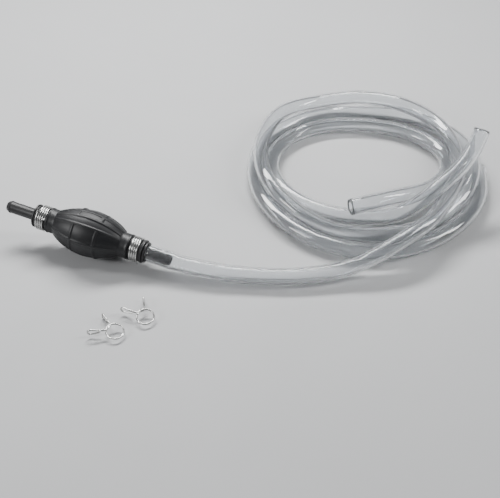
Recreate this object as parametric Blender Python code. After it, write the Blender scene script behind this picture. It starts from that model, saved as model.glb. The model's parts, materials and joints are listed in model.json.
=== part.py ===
"""A hand-bulb water siphon laid out on a table: bulb, two valves, clear hoses and spare clamps.

All lengths are metres, +Z is up and Z = 0 is the table. The pieces of the bulb are drawn along
the bulb's own axis, from the inlet at -X to the outlet at +X, and are then laid on the table.
"""

import math

import bmesh
import bpy
from mathutils import Matrix, Vector

# The gap kept between pieces that touch on the real object.
GAP = 0.0003

# Where the bulb lies: its middle, its turn on the table and how far its inlet end is lifted.
BULB_MIDDLE = Vector((-0.0005, 0.0337, 0.01862))
BULB_YAW = math.radians(-19.4)
BULB_TILT = math.radians(6.4)
BULB_PLACE = Matrix.Translation(BULB_MIDDLE) @ Matrix.Rotation(BULB_YAW, 4, "Z") @ Matrix.Rotation(BULB_TILT, 4, "Y")

# The rubber bulb: its belly, and a neck at each end with a shallow groove for its wound clamp.
BULB_RADIUS = 0.0177
BELLY_MIDDLE = 0.0017
BELLY_HALF_LENGTH = 0.0325
BELLY_FULLNESS = 1.8
NECK_RADIUS = 0.0099
NECK_BORE = 0.0063
GROOVE_RADIUS = 0.0083
BULB_WALL = 0.0022
SHOULDER = 0.0270
INLET_GROOVE = -0.0323
INLET_END = -0.0409
OUTLET_GROOVE = 0.0362
OUTLET_END = 0.0447
BELLY_STATIONS = 13
RIB_HEIGHT = 0.0006
RIB_HALF_ANGLE = math.radians(2.6)
RIB_HALF_WIDTH = 0.0008
RING_RIBS = (-0.0072, 0.0120)
# Ten lengthwise ribs: each half turn has a plain band, a narrow panel and three wide ones.
RIB_STEPS = (24.0, 21.0, 45.0, 45.0, 45.0)
FIRST_RIB = 61.5

# The two plastic fittings.
FITTING_BORE = 0.0026
BARREL_RADIUS = 0.0046
BARB_RADIUS = 0.0050
TIP_RADIUS = 0.0036
PLUG_RADIUS = 0.0059
FLANGE_RADIUS = 0.0091
FLANGE_WIDTH = 0.0013
INLET_FLANGE = -0.0423
OUTLET_FLANGE = 0.0460
INLET_TIP = -0.0682
OUTLET_TIP = 0.0690
BOSS_RADIUS = 0.0080
BOSS_END = 0.0494
SPIGOT_RADIUS = 0.0048
CHAMBER_RADIUS = 0.0047
GASKET_RADIUS = 0.0087

# Valves: both discs lift towards the outlet.
VALVE_TRAVEL = 0.0015
STEM_RADIUS = 0.0009
STEM_HOLE = 0.0013
SPRING_WIRE = 0.00025
CAGE_RADIUS = 0.0059
CAGE_WALL = 0.0009
WINDOW_COUNT = 3

# Wound wire clamps on the bulb's necks.
WINDING_WIRE = 0.00068
WINDING_PITCH = 0.00166
WINDING_TURNS = 4
WINDING_RADIUS = GROOVE_RADIUS + GAP + WINDING_WIRE

# Clear hose, and where the long one runs.
HOSE_RADIUS = 0.0065
HOSE_BORE = 0.0045
# Over the barb the hose is stretched to this bore and outside radius.
CUFF_BORE = BARB_RADIUS + GAP
CUFF_RADIUS = 0.0068
HOSE_STEP = 2 * (2 * HOSE_RADIUS)
STRAIGHT_LEAD = 0.0180
LEAD_ROUTE = (
    (0.0982, 0.0022, 0.0084),
    (0.1142, 0.0005, 0.0068),
    (0.1322, -0.0010, 0.0067),
    (0.1512, -0.0015, 0.0067),
    (0.1702, 0.0000, 0.0069),
    (0.1922, 0.0040, 0.0085),
    (0.2132, 0.0100, 0.0140),
    (0.2322, 0.0190, 0.0200),
    (0.2502, 0.0320, 0.0226),
    (0.2672, 0.0490, 0.0232),
)
# The short hose, from its inner end round to the end that stands up.
SECOND_ROUTE = (
    (0.2022, 0.0615, 0.0202),
    (0.2232, 0.0680, 0.0208),
    (0.2457, 0.0780, 0.0182),
    (0.2667, 0.0930, 0.0110),
    (0.2827, 0.1095, 0.0070),
    (0.2932, 0.1310, 0.0067),
    (0.2897, 0.1545, 0.0067),
    (0.2716, 0.1754, 0.0067),
    (0.2481, 0.1871, 0.0067),
    (0.2232, 0.1920, 0.0067),
    (0.1966, 0.1912, 0.0067),
    (0.1695, 0.1807, 0.0067),
    (0.1484, 0.1580, 0.0067),
    (0.1417, 0.1270, 0.0067),
    (0.1521, 0.0975, 0.0067),
    (0.1730, 0.0768, 0.0067),
    (0.1982, 0.0666, 0.0067),
    (0.2232, 0.0648, 0.0068),
    (0.2412, 0.0650, 0.0098),
    (0.2572, 0.0655, 0.0212),
    (0.2712, 0.0705, 0.0336),
    (0.2862, 0.0810, 0.0402),
    (0.2968, 0.0930, 0.0450),
    (0.3033, 0.1010, 0.0520),
    (0.3074, 0.1078, 0.0612),
)

# The long hose's coil: its middle and, for each sixteenth of a turn, how far out and how high
# the hose's centre runs. It starts where the lead has climbed on to the coil.
COIL_MIDDLE = Vector((0.2232, 0.127, 0.0))
STATION_STEP = 22.5
FIRST_STATION = -22.5
COIL_STATIONS = (
    (0.0765, 0.0233), (0.0755, 0.0188), (0.0812, 0.0170), (0.0865, 0.0182),
    (0.0885, 0.0199), (0.0953, 0.0163), (0.1005, 0.0125), (0.0988, 0.0182),
    (0.0935, 0.0200), (0.0910, 0.0190), (0.0900, 0.0177), (0.0875, 0.0123),
    (0.0855, 0.0075), (0.0835, 0.0065), (0.0820, 0.0065), (0.0830, 0.0085),
    (0.0866, 0.0152), (0.0888, 0.0168), (0.0932, 0.0103), (0.0945, 0.0065),
    (0.0890, 0.0065), (0.0846, 0.0065), (0.0880, 0.0065), (0.0920, 0.0065),
    (0.0955, 0.0065), (0.0965, 0.0065), (0.0975, 0.0065), (0.0995, 0.0065),
    (0.1020, 0.0065), (0.1020, 0.0065), (0.0990, 0.0065), (0.0965, 0.0065),
    (0.0962, 0.0065), (0.0960, 0.0065),
)
COIL_STEPS = 48
COIL_FLOOR = 0.0002
COIL_EDGE = 0.0020
# The coil solid keeps this far outside the short hose, whose loop lies inside it.
SECOND_HOSE_CLEARANCE = 0.0006
# Under the lead the coil is one hose high, up to this angle, where the lead meets it.
LEAD_LANDING = 318.0
LEAD_UNDERSIDE = 0.0157

# Spare clamps: one bent wire each, a ring with two ears that end in loops.
CLAMP_WIRE = 0.0006
CLAMP_RING_RADIUS = 0.00615
CLAMP_RISE = 0.0016
EAR_SPREAD = math.radians(61.0)
EAR_LENGTH = 0.0190
EAR_LOOP = 0.0047
CLAMP_TILT = math.radians(9.5)
LEFT_CLAMP_MIDDLE = (0.0287, -0.0520)
LEFT_CLAMP_TURN = math.radians(155.0)
RIGHT_CLAMP_MIDDLE = (0.0487, -0.0385)
RIGHT_CLAMP_TURN = math.radians(130.0)
CLAMP_FLOOR = 0.0001

RUBBER = ("bulb_rubber", (0.045, 0.048, 0.055), 0.55, 0.0)
BLACK_PLASTIC = ("black_plastic", (0.020, 0.021, 0.023), 0.38, 0.0)
GREY_RUBBER = ("valve_rubber", (0.10, 0.10, 0.10), 0.60, 0.0)
WHITE_PLASTIC = ("valve_plastic", (0.80, 0.79, 0.75), 0.40, 0.0)
STEEL = ("zinc_steel", (0.78, 0.79, 0.80), 0.22, 1.0)
SPRING_STEEL = ("spring_steel", (0.62, 0.63, 0.65), 0.28, 1.0)
CLEAR_PVC = ("clear_pvc", (0.86, 0.88, 0.92), 0.12, 0.0)


def clear_scene():
    """Remove every object that the new file holds."""
    for obj in list(bpy.data.objects):
        bpy.data.objects.remove(obj, do_unlink=True)


def material(finish):
    """The material of this name, colour, roughness and metallic value."""
    name, colour, roughness, metallic = finish
    found = bpy.data.materials.get(name)
    if found:
        return found
    made = bpy.data.materials.new(name)
    made.use_nodes = True
    made.diffuse_color = (*colour, 1.0)
    shader = made.node_tree.nodes["Principled BSDF"]
    shader.inputs["Base Color"].default_value = (*colour, 1.0)
    shader.inputs["Roughness"].default_value = roughness
    shader.inputs["Metallic"].default_value = metallic
    return made


def add_object(name, data, finish, place=None):
    """An object of this mesh or curve in the scene, with its material and its place."""
    data.materials.append(material(finish))
    obj = bpy.data.objects.new(name, data)
    if place is not None:
        obj.matrix_world = place
    bpy.context.scene.collection.objects.link(obj)
    return obj


def mesh_object(name, bm, finish, place=None):
    """A closed, smooth-shaded mesh object made from a bmesh."""
    bmesh.ops.recalc_face_normals(bm, faces=bm.faces)
    mesh = bpy.data.meshes.new(name)
    bm.to_mesh(mesh)
    bm.free()
    mesh.shade_smooth()
    mesh.set_sharp_from_angle(angle=math.radians(35.0))
    return add_object(name, mesh, finish, place)


def turned_bmesh(outline, steps=24):
    """The solid that an outline of (x, radius) points sweeps round the X axis."""
    bm = bmesh.new()
    verts = [bm.verts.new((x, radius, 0.0)) for x, radius in outline]
    edges = [bm.edges.new(pair) for pair in zip(verts, verts[1:])]
    if outline[0][1] > 0.0:
        edges.append(bm.edges.new((verts[-1], verts[0])))
    bmesh.ops.spin(
        bm,
        geom=verts + edges,
        cent=(0.0, 0.0, 0.0),
        axis=(1.0, 0.0, 0.0),
        angle=math.tau,
        steps=steps,
        use_merge=True,
    )
    bmesh.ops.remove_doubles(bm, verts=bm.verts, dist=1e-6)
    return bm


def turned(name, outline, finish, steps=24):
    """A turned piece of the bulb, laid where the bulb lies."""
    return mesh_object(name, turned_bmesh(outline, steps), finish, BULB_PLACE)


def tube_ring(start, end, inner, outer):
    """The outline of a plain ring between two stations."""
    return [(start, inner), (start, outer), (end, outer), (end, inner)]


def wire_object(name, points, radius, finish, place=None, sides=1):
    """A round wire or tube with capped ends through these points."""
    curve = bpy.data.curves.new(name, "CURVE")
    curve.dimensions = "3D"
    curve.bevel_depth = radius
    curve.bevel_resolution = sides
    curve.use_fill_caps = True
    spline = curve.splines.new("POLY")
    spline.points.add(len(points) - 1)
    for point, where in zip(spline.points, points):
        point.co = (*where, 1.0)
    return add_object(name, curve, finish, place)


def helix(start, pitch, turns, radius, per_turn, phase=0.0):
    """Points of a winding round the X axis, from its first station onwards."""
    count = round(turns * per_turn)
    points = []
    for i in range(count + 1):
        turn = i / per_turn
        angle = phase + math.tau * turn
        points.append((start + pitch * turn, radius * math.cos(angle), radius * math.sin(angle)))
    return points


def smooth_curve(route, per_span=12):
    """Close points on one smooth curve through the points of a route."""
    points = [Vector(p) for p in route]
    points = [2 * points[0] - points[1], *points, 2 * points[-1] - points[-2]]
    curve = []
    for before, here, there, after in zip(points, points[1:], points[2:], points[3:]):
        for i in range(per_span):
            t = i / per_span
            curve.append(
                here
                + 0.5 * t * (there - before)
                + 0.5 * t**2 * (2 * before - 5 * here + 4 * there - after)
                + 0.5 * t**3 * (3 * here - before - 3 * there + after)
            )
    curve.append(points[-2])
    return curve


def evenly_spaced(curve, step):
    """Points along a curve, about one step apart, with both ends kept."""
    lengths = [0.0]
    for here, there in zip(curve, curve[1:]):
        lengths.append(lengths[-1] + (there - here).length)
    count = max(2, round(lengths[-1] / step))
    points = []
    span = 0
    for i in range(count + 1):
        target = lengths[-1] * i / count
        while span < len(curve) - 2 and lengths[span + 1] < target:
            span += 1
        share = (target - lengths[span]) / (lengths[span + 1] - lengths[span])
        points.append(curve[span].lerp(curve[span + 1], share))
    return points


def belly_radius(x, least=NECK_RADIUS):
    """Outer radius of the bulb between its shoulders, without ribs."""
    share = (x - BELLY_MIDDLE) / BELLY_HALF_LENGTH
    return max(least, BULB_RADIUS * math.sqrt(max(0.0, 1.0 - abs(share) ** BELLY_FULLNESS)))


def belly_stations():
    """Stations along the belly: even ones, and four for each ring rib."""
    inside = SHOULDER - 0.002
    share = 2 * inside / (BELLY_STATIONS - 1)
    stations = [BELLY_MIDDLE - inside + share * i for i in range(BELLY_STATIONS)]
    far = [x for x in stations if all(abs(x - ring) > 3 * RIB_HALF_WIDTH for ring in RING_RIBS)]
    for ring in RING_RIBS:
        far += [ring + side * RIB_HALF_WIDTH for side in (-1.6, -1.0, 1.0, 1.6)]
    return sorted(far)


def rib_angles():
    """Angles of the lengthwise ribs round the bulb, from its front towards its top."""
    angles = []
    angle = FIRST_RIB
    for _ in range(2):
        for width in RIB_STEPS:
            angles.append(math.radians(angle))
            angle += width
    return angles


def bulb_columns():
    """Angles of the bulb's lengthwise mesh lines, each with whether it runs on a rib's top."""
    ribs = rib_angles()
    columns = []
    for rib, after in zip(ribs, [*ribs[1:], ribs[0] + math.tau]):
        columns += [(rib - 1.5 * RIB_HALF_ANGLE, False), (rib - RIB_HALF_ANGLE, True)]
        columns += [(rib + RIB_HALF_ANGLE, True), (rib + 1.5 * RIB_HALF_ANGLE, False)]
        columns.append(((rib + after) / 2, False))
    return columns


def bulb_outline():
    """The bulb's outline as (x, radius, kind) from its inlet end, outside and back inside."""
    left, right = BELLY_MIDDLE - SHOULDER, BELLY_MIDDLE + SHOULDER
    outline = [(INLET_END, GROOVE_RADIUS, "neck"), (INLET_GROOVE, GROOVE_RADIUS, "neck")]
    outline += [(INLET_GROOVE + GAP, NECK_RADIUS, "neck"), (left, NECK_RADIUS, "neck")]
    for x in belly_stations():
        ring = any(abs(x - middle) < 1.2 * RIB_HALF_WIDTH for middle in RING_RIBS)
        outline.append((x, belly_radius(x), "ring" if ring else "belly"))
    outline += [(right, NECK_RADIUS, "neck"), (OUTLET_GROOVE - GAP, NECK_RADIUS, "neck")]
    outline += [(OUTLET_GROOVE, GROOVE_RADIUS, "neck"), (OUTLET_END, GROOVE_RADIUS, "neck")]
    steps = 8
    hollow = [right + (left - right) * i / steps for i in range(steps + 1)]
    outline.append((OUTLET_END, NECK_BORE, "inner"))
    outline += [(x, belly_radius(x, NECK_BORE + BULB_WALL) - BULB_WALL, "inner") for x in hollow]
    outline.append((INLET_END, NECK_BORE, "inner"))
    return outline


def make_bulb():
    """The hollow rubber bulb with its ribs, open at both necks."""
    columns = bulb_columns()
    outline = bulb_outline()
    bm = bmesh.new()
    rows = []
    for x, radius, kind in outline:
        row = []
        for angle, on_rib in columns:
            raised = kind == "ring" or (kind == "belly" and on_rib)
            r = radius + RIB_HEIGHT * raised
            row.append(bm.verts.new((x, -r * math.cos(angle), r * math.sin(angle))))
        rows.append(row)
    for row, after in zip(rows, [*rows[1:], rows[0]]):
        for i, vert in enumerate(row):
            j = (i + 1) % len(row)
            bm.faces.new((vert, row[j], after[j], after[i]))
    return mesh_object("squeeze_bulb", bm, RUBBER, BULB_PLACE)


def make_inlet_fitting():
    """Nozzle with a barbed tip, flange and plug, bored right through."""
    barb = INLET_TIP + 0.0030
    face = INLET_FLANGE - FLANGE_WIDTH
    outline = [
        (INLET_TIP, FITTING_BORE),
        (INLET_TIP, TIP_RADIUS),
        (barb, BARB_RADIUS),
        (barb + 0.0004, BARREL_RADIUS),
        (face, BARREL_RADIUS),
        (face, FLANGE_RADIUS),
        (INLET_FLANGE, FLANGE_RADIUS),
        (INLET_FLANGE, PLUG_RADIUS),
        (-0.0322, PLUG_RADIUS),
        (-0.0322, SPIGOT_RADIUS),
        (-0.0282, SPIGOT_RADIUS),
        (-0.0282, FITTING_BORE),
    ]
    return turned("inlet_fitting", outline, BLACK_PLASTIC)


def make_outlet_fitting():
    """Plug with the valve chamber, flange, boss and the barbed tail for the hose."""
    face = OUTLET_FLANGE + FLANGE_WIDTH
    outline = [
        (0.0330, CHAMBER_RADIUS),
        (0.0330, PLUG_RADIUS),
        (OUTLET_FLANGE, PLUG_RADIUS),
        (OUTLET_FLANGE, FLANGE_RADIUS),
        (face, FLANGE_RADIUS),
        (face, BOSS_RADIUS - 0.0008),
        (face + 0.0005, BOSS_RADIUS - 0.0008),
        (face + 0.0005, BOSS_RADIUS),
        (BOSS_END, BOSS_RADIUS),
        (BOSS_END, BARREL_RADIUS),
        (0.0555, BARREL_RADIUS),
        (0.0559, BARB_RADIUS),
        (0.0591, BARREL_RADIUS),
        (0.0646, BARREL_RADIUS),
        (0.0650, BARB_RADIUS),
        (OUTLET_TIP, TIP_RADIUS),
        (OUTLET_TIP, FITTING_BORE),
        (0.0460, FITTING_BORE),
        (0.0455, CHAMBER_RADIUS),
    ]
    return turned("outlet_fitting", outline, BLACK_PLASTIC)


def make_gaskets():
    """The rubber washers between each neck's end and its flange."""
    bore = PLUG_RADIUS + GAP
    inlet = tube_ring(INLET_FLANGE + GAP, INLET_END - GAP, bore, GASKET_RADIUS)
    turned("inlet_neck_gasket", inlet, GREY_RUBBER)
    outlet = tube_ring(OUTLET_END + GAP, OUTLET_FLANGE - GAP, bore, GASKET_RADIUS)
    turned("outlet_neck_gasket", outlet, GREY_RUBBER)


def make_neck_clamp(name, near, far, first_turn):
    """A wire wound four times round a neck's groove, between two stations."""
    start = (near + far - WINDING_TURNS * WINDING_PITCH) / 2
    points = helix(start, WINDING_PITCH, WINDING_TURNS, WINDING_RADIUS, 24, math.radians(first_turn))
    wire_object(name, points, WINDING_WIRE, STEEL, BULB_PLACE)


def poppet_outline(face, thickness, radius, stem_end):
    """A flat disc on a stem, as an outline that starts and ends on the axis."""
    back = face + thickness
    return [(face, 0.0), (face, radius), (back, radius), (back, STEM_RADIUS), (stem_end, STEM_RADIUS), (stem_end, 0.0)]


def cut(obj, cutters):
    """Cut each cutter out of the object and hide the cutters."""
    for cutter in cutters:
        cutter.hide_render = True
        cutter.display_type = "WIRE"
        modifier = obj.modifiers.new(cutter.name, "BOOLEAN")
        modifier.operation = "DIFFERENCE"
        modifier.object = cutter


def window_cutters(name, start, end, half_width, inner, outer, phase=0.0):
    """Evenly spaced blocks round the axis, for windows through a wall."""
    cutters = []
    for i in range(WINDOW_COUNT):
        bm = bmesh.new()
        bmesh.ops.create_cube(bm, size=1.0)
        size = Matrix.Diagonal((end - start, 2 * half_width, outer - inner, 1.0))
        where = Matrix.Translation(((start + end) / 2, 0.0, (inner + outer) / 2))
        turn = Matrix.Rotation(phase + math.tau * i / WINDOW_COUNT, 4, "X")
        bm.transform(turn @ where @ size)
        cutters.append(mesh_object(f"{name}_cutter_{i + 1}", bm, STEEL, BULB_PLACE))
    return cutters


def make_inlet_valve():
    """Washer, disc on its stem, spring and cage behind the inlet's seat."""
    washer = tube_ring(-0.0279, -0.0271, 0.0026, 0.0046)
    turned("inlet_valve_washer", washer, GREY_RUBBER, 20)
    poppet = poppet_outline(-0.0268, 0.0012, 0.0042, -0.0138)
    turned("inlet_valve_poppet", poppet, WHITE_PLASTIC, 20)
    spring = helix(-0.0250, 0.0018, 4.0, 0.0026, 12)
    wire_object("inlet_valve_spring", spring, SPRING_WIRE, SPRING_STEEL, BULB_PLACE)
    inner = CAGE_RADIUS - CAGE_WALL
    cage = [
        (-0.0319, inner),
        (-0.0319, CAGE_RADIUS),
        (-0.0156, CAGE_RADIUS),
        (-0.0156, STEM_HOLE),
        (-0.0168, STEM_HOLE),
        (-0.0168, inner),
    ]
    body = turned("inlet_valve_cage", cage, WHITE_PLASTIC)
    cut(body, window_cutters("cage", -0.0242, -0.0182, 0.0026, 0.0030, 0.0080))


def make_outlet_valve():
    """Seat, disc on its stem, spring and stem guide inside the outlet plug."""
    radius = CHAMBER_RADIUS - GAP
    seat = tube_ring(0.0333, 0.0350, 0.0022, radius)
    turned("outlet_valve_seat", seat, GREY_RUBBER, 20)
    poppet = poppet_outline(0.0353, 0.0012, 0.0036, 0.0443)
    turned("outlet_valve_poppet", poppet, WHITE_PLASTIC, 20)
    spring = helix(0.0370, 0.0011, 4.0, 0.0022, 12)
    wire_object("outlet_valve_spring", spring, SPRING_WIRE, SPRING_STEEL, BULB_PLACE)
    guide = turned("outlet_valve_guide", tube_ring(0.0421, 0.0433, STEM_HOLE, radius), WHITE_PLASTIC)
    cut(guide, window_cutters("guide", 0.0415, 0.0440, 0.0010, 0.0020, 0.0038))


def on_bulb_axis(x):
    """The world place of a station on the bulb's axis."""
    return BULB_PLACE @ Vector((x, 0.0, 0.0))


def make_outlet_hose():
    """The end of the long hose on its barb, and its lead up to the coil."""
    end = OUTLET_TIP + GAP
    cuff = tube_ring(BOSS_END + GAP, end, CUFF_BORE, CUFF_RADIUS)
    turned("outlet_hose_cuff", cuff, CLEAR_PVC)
    start = on_bulb_axis(end + GAP)
    straight = on_bulb_axis(end + GAP + STRAIGHT_LEAD)
    lead = [start, *evenly_spaced(smooth_curve([straight, *LEAD_ROUTE]), HOSE_STEP)]
    wire_object("outlet_hose_lead", lead, HOSE_RADIUS, CLEAR_PVC, sides=2)


def coil_station(angle):
    """How far out and how high the coil's hose runs at an angle counted along all its turns."""
    place = (angle - FIRST_STATION) / STATION_STEP
    index = min(int(place), len(COIL_STATIONS) - 2)
    share = place - index
    return tuple(a + share * (b - a) for a, b in zip(COIL_STATIONS[index], COIL_STATIONS[index + 1]))


def coil_runs(angle):
    """Each turn's radius and height at an angle between 0 and 360 degrees."""
    last = FIRST_STATION + STATION_STEP * (len(COIL_STATIONS) - 1)
    turns = [angle + 360.0 * turn for turn in (-1, 0, 1, 2)]
    return [coil_station(turn) for turn in turns if FIRST_STATION <= turn <= last]


def second_hose_reach(angle):
    """How far out the short hose's loop reaches at an angle round the coil's middle."""
    reach = 0.0
    for point in smooth_curve(SECOND_ROUTE):
        away = point - COIL_MIDDLE
        apart = abs((math.degrees(math.atan2(away.y, away.x)) - angle + 180.0) % 360.0 - 180.0)
        if apart < 6.0 and point.z < 2 * HOSE_RADIUS:
            reach = max(reach, math.hypot(away.x, away.y))
    return reach + HOSE_RADIUS + SECOND_HOSE_CLEARANCE


def coil_section(angle):
    """Inner radius, outer radius and top of the coil's solid at an angle."""
    runs = coil_runs(angle)
    inner = max(min(radius for radius, _ in runs) - HOSE_RADIUS, second_hose_reach(angle))
    outer = max(radius for radius, _ in runs) + HOSE_RADIUS
    top = max(height for _, height in runs) + HOSE_RADIUS
    if LEAD_LANDING - 90.0 < angle < LEAD_LANDING:
        top = min(top, LEAD_UNDERSIDE)
    return inner, outer, top


def make_coil():
    """One closed ring in the outer shape of the long hose's coil."""
    bm = bmesh.new()
    rings = []
    for i in range(COIL_STEPS):
        angle = 360.0 * i / COIL_STEPS
        inner, outer, top = coil_section(angle)
        edge = COIL_EDGE
        section = [(inner + edge, COIL_FLOOR), (outer - edge, COIL_FLOOR), (outer, COIL_FLOOR + edge), (outer, top - edge)]
        section += [(outer - edge, top), (inner + edge, top), (inner, top - edge), (inner, COIL_FLOOR + edge)]
        turn = math.radians(angle)
        outward = Vector((math.cos(turn), math.sin(turn), 0.0))
        up = Vector((0.0, 0.0, 1.0))
        rings.append([bm.verts.new(COIL_MIDDLE + r * outward + z * up) for r, z in section])
    for ring, after in zip(rings, [*rings[1:], rings[0]]):
        for j in range(len(ring)):
            k = (j + 1) % len(ring)
            bm.faces.new((ring[j], ring[k], after[k], after[j]))
    return mesh_object("outlet_hose_coil", bm, CLEAR_PVC)


def make_second_hose():
    """The short loose hose, which lies inside the coil and crosses over it."""
    points = evenly_spaced(smooth_curve(SECOND_ROUTE), HOSE_STEP)
    wire_object("second_hose", points, HOSE_RADIUS, CLEAR_PVC, sides=2)


def ear_points(direction, height):
    """A straight leg out from the ring, a round end and the tail that comes back under it."""
    outward = Vector((math.cos(direction), math.sin(direction), 0.0))
    half = EAR_LOOP / 2
    points = []
    start = CLAMP_RING_RADIUS + 0.0022
    points.append(outward * start + Vector((0.0, 0.0, height)))
    for i in range(5):
        angle = math.pi / 2 - math.pi * i / 4
        reach = EAR_LENGTH - half + half * math.cos(angle)
        points.append(outward * reach + Vector((0.0, 0.0, height - half + half * math.sin(angle))))
    tail = outward * (EAR_LENGTH - 0.0085) + Vector((0.0, 0.0, height - 0.0022))
    points.append(tail)
    return points


def clamp_points():
    """The whole wire of a spare clamp, from one tail round the ring to the other."""
    first = EAR_SPREAD / 2
    second = -EAR_SPREAD / 2
    sweep = math.tau + EAR_SPREAD
    ring = []
    steps = 26
    lead_in = 0.16
    for i in range(steps + 1):
        share = i / steps
        angle = first - lead_in - (sweep - 2 * lead_in) * share
        height = CLAMP_RISE * (0.5 - share) * sweep / math.tau
        ring.append(Vector((CLAMP_RING_RADIUS * math.cos(angle), CLAMP_RING_RADIUS * math.sin(angle), height)))
    return [*reversed(ear_points(first, ring[0].z)), *ring, *ear_points(second, ring[-1].z)]


def make_wire_clamp(name, middle, turn):
    """A spare clamp lying on its ears' loops and the far side of its ring."""
    tilt = Matrix.Rotation(turn, 4, "Z") @ Matrix.Rotation(-CLAMP_TILT, 4, "Y")
    points = [tilt @ point for point in clamp_points()]
    lowest = min(point.z for point in points) - CLAMP_WIRE
    place = Vector((*middle, CLAMP_FLOOR - lowest))
    wire_object(name, [point + place for point in points], CLAMP_WIRE, STEEL)


def main():
    """Build every piece."""
    clear_scene()
    make_bulb()
    make_inlet_fitting()
    make_outlet_fitting()
    make_gaskets()
    make_neck_clamp("inlet_neck_clamp", INLET_END, INLET_GROOVE, 125.0)
    make_neck_clamp("outlet_neck_clamp", OUTLET_GROOVE, OUTLET_END, 215.0)
    make_inlet_valve()
    make_outlet_valve()
    make_outlet_hose()
    make_coil()
    make_second_hose()
    make_wire_clamp("left_wire_clamp", LEFT_CLAMP_MIDDLE, LEFT_CLAMP_TURN)
    make_wire_clamp("right_wire_clamp", RIGHT_CLAMP_MIDDLE, RIGHT_CLAMP_TURN)


main()
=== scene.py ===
"""A hand-bulb water siphon on a table: ribbed rubber bulb, clear hoses and spare wire clamps.

All lengths are metres in the row frame. The bulb's own pieces are drawn along its axis, from the
inlet at -X to the outlet at +X, and then laid on the table.
"""

from __future__ import annotations

import json
import logging
import math
from dataclasses import dataclass, field
from enum import Enum
from typing import Mapping, Sequence

import bpy
import numpy as np
from mathutils import Matrix, Vector

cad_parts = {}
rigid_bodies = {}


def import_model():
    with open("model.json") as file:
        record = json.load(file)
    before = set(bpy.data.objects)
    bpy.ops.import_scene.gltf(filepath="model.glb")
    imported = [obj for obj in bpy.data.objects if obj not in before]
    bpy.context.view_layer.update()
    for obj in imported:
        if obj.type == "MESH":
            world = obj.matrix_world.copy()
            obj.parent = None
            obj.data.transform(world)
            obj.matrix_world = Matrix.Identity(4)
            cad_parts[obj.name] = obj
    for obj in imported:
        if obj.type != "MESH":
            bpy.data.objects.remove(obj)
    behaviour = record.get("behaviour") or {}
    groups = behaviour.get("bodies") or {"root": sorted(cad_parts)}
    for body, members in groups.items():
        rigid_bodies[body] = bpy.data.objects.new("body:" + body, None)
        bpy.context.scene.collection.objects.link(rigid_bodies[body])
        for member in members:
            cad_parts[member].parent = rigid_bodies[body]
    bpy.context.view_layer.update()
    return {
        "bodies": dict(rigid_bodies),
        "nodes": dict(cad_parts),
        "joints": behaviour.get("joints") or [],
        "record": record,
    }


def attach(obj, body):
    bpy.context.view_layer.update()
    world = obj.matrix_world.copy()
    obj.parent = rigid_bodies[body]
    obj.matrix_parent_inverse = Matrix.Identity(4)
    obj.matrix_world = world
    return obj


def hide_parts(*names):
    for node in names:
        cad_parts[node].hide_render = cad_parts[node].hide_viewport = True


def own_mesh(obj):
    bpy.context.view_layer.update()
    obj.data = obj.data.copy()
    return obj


LOG = logging.getLogger("siphon")

GAP = 0.0003
Point = tuple[float, float, float]
Outline = Sequence[tuple[float, float]]


class Slot(Enum):
    """Material slots of the record."""

    RUBBER = "bulb_rubber"
    BLACK_PLASTIC = "black_plastic"
    VALVE_RUBBER = "valve_rubber"
    VALVE_PLASTIC = "valve_plastic"
    ZINC = "zinc_steel"
    SPRING = "spring_steel"
    VINYL = "clear_pvc"


class Body(Enum):
    """Rigid bodies of the record that pieces here ride on."""

    SIPHON = "siphon"
    LEFT_CLAMP = "left_clamp"
    RIGHT_CLAMP = "right_clamp"


# ---------------------------------------------------------------------------
# Shader helpers


class Value:
    """One output of a shader tree, with arithmetic."""

    def __init__(self, shader: Shader, socket: bpy.types.NodeSocket) -> None:
        self.shader = shader
        self.socket = socket

    def __add__(self, other: Value | float) -> Value:
        return self.shader.maths("ADD", self, other)

    def __radd__(self, other: float) -> Value:
        return self.shader.maths("ADD", other, self)

    def __sub__(self, other: Value | float) -> Value:
        return self.shader.maths("SUBTRACT", self, other)

    def __rsub__(self, other: float) -> Value:
        return self.shader.maths("SUBTRACT", other, self)

    def __mul__(self, other: Value | float) -> Value:
        return self.shader.maths("MULTIPLY", self, other)

    def __rmul__(self, other: float) -> Value:
        return self.shader.maths("MULTIPLY", other, self)


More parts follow.
